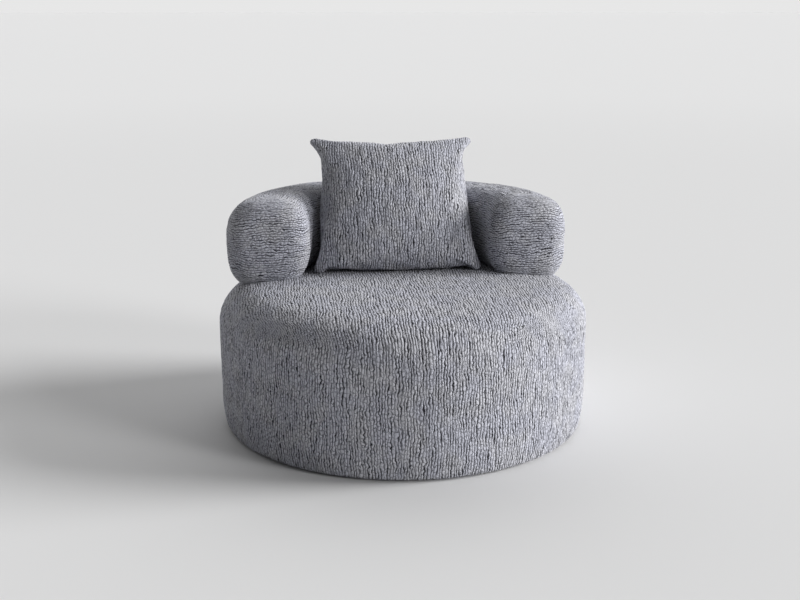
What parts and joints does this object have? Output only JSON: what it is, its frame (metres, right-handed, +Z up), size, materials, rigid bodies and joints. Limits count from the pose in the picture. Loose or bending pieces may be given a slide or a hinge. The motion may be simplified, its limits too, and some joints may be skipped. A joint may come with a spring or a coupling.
{
  "type": "round armchair",
  "caption": "Low round upholstered armchair with a drum seat, a C-shaped roll that is back and arms in one, and a loose square pillow leaning on it.",
  "frame": {"origin": "on the drum's axis at the floor", "axes": "+Z up, -Y is the front that a sitter faces"},
  "size_m": [1.08, 1.0796, 0.8002],
  "materials": {
    "chenille": "chunky crinkled chenille, mid grey",
    "foam": "open-cell upholstery foam",
    "plywood": "birch plywood, raw",
    "softwood": "planed softwood",
    "fibreboard": "bent hardboard",
    "webbing": "elastic webbing",
    "felt": "needled felt",
    "dust_cloth": "black spun-bonded cloth",
    "steel": "zinc-plated steel",
    "glide_plastic": "black moulded plastic",
    "pillow_fill": "polyester fibre in a cotton case"
  },
  "bodies": {
    "chair": {"base_ring": "plywood", "cross_rail_long": "softwood", "cross_rails_short": "softwood", "frame_posts": "softwood", "top_ring": "plywood", "frame_screws": "steel", "wall_liner": "fibreboard", "webbing_across": "webbing", "webbing_along": "webbing", "felt_pad": "felt", "seat_foam": "foam", "side_foam": "foam", "seat_cover": "chenille", "dust_cover": "dust_cloth", "glides": "glide_plastic", "glide_screws": "steel", "roll_base_plate": "plywood", "roll_ribs": "plywood", "roll_top_plate": "plywood", "roll_foam": "foam", "roll_cover": "chenille", "roll_studs": "steel", "spacer_tubes": "steel", "tee_nuts": "steel", "stud_washers": "steel", "stud_nuts": "steel"},
    "pillow": {"pillow_insert": "pillow_fill", "pillow_cover": "chenille"}
  },
  "joints": [
    {"name": "pillow_lift", "type": "slide", "parent": "chair", "child": "pillow", "axis": [0, 0, 1], "range_m": [0, 0.35]}
  ]
}
